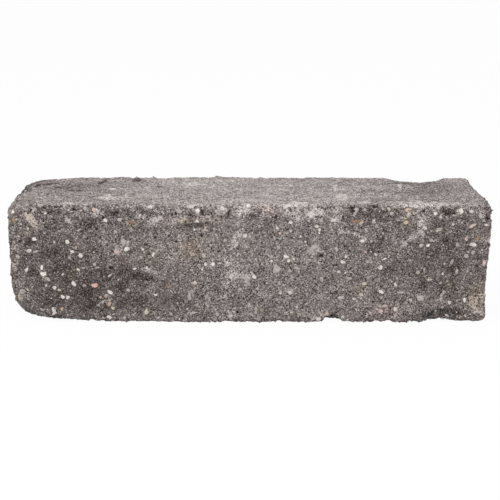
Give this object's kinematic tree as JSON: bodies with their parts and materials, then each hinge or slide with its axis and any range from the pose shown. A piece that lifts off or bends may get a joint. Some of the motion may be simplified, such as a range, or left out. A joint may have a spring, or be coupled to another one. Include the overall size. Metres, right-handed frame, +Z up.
{
  "type": "tumbled concrete sleeper block",
  "caption": "Long rectangular walling block of tumbled concrete with worn arrises, knocked-off corners and chipped edges.",
  "frame": {"origin": "middle of the bed face, on which the block lies", "axes": "+X along the block's length, +Y from the front face to the back face, +Z up out of the top face"},
  "size_m": [0.59, 0.18, 0.15],
  "materials": {
    "concrete": "rough tumbled charcoal-grey concrete with pale exposed aggregate"
  },
  "bodies": {
    "root": {"sleeper_block": "concrete"}
  },
  "joints": []
}
